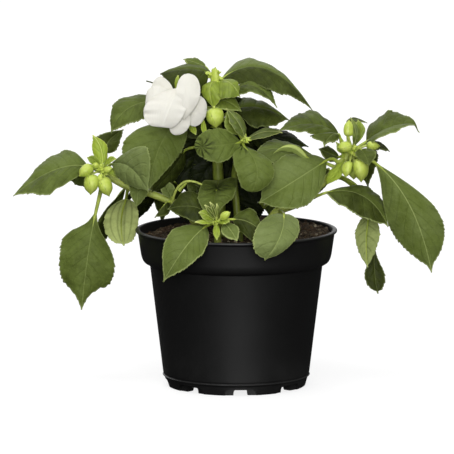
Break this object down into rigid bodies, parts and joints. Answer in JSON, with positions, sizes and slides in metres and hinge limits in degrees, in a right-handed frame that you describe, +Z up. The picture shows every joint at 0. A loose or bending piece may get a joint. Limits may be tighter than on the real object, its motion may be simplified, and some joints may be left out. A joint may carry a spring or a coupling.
{
  "type": "potted busy lizzie",
  "caption": "Busy lizzie plant with toothed green leaves, pale bud clusters and a double white bloom, growing in a tapered black plastic nursery pot filled with peat.",
  "frame": {"origin": "middle of the pot's underside, on the plane the pot stands on", "axes": "+Z up out of the pot, +X along the plant's widest spread, to the right as seen with the bloom in front, +Y away from the side where the bloom faces"},
  "size_m": [0.2543, 0.1467, 0.1956],
  "materials": {
    "pot_plastic": "satin black moulded plastic",
    "peat": "rough crumbly peat compost",
    "leaf": "soft satin leaf green, lighter below",
    "young_growth": "satin yellow-green buds and young leaves",
    "stem": "fleshy satin pale green",
    "petal": "soft white petal"
  },
  "bodies": {
    "root": {"pot": "pot_plastic", "soil": "peat", "main_shoot": "leaf", "middle_shoot": "leaf", "left_shoot": "leaf", "right_shoot": "leaf", "front_shoot": "leaf", "back_left_shoot": "leaf", "back_right_shoot": "leaf", "main_shoot_tip": "young_growth", "middle_shoot_tip": "young_growth", "left_shoot_buds": "young_growth", "right_shoot_buds": "young_growth", "front_shoot_tip": "young_growth", "bloom_calyx": "stem", "bloom": "petal"}
  },
  "joints": []
}
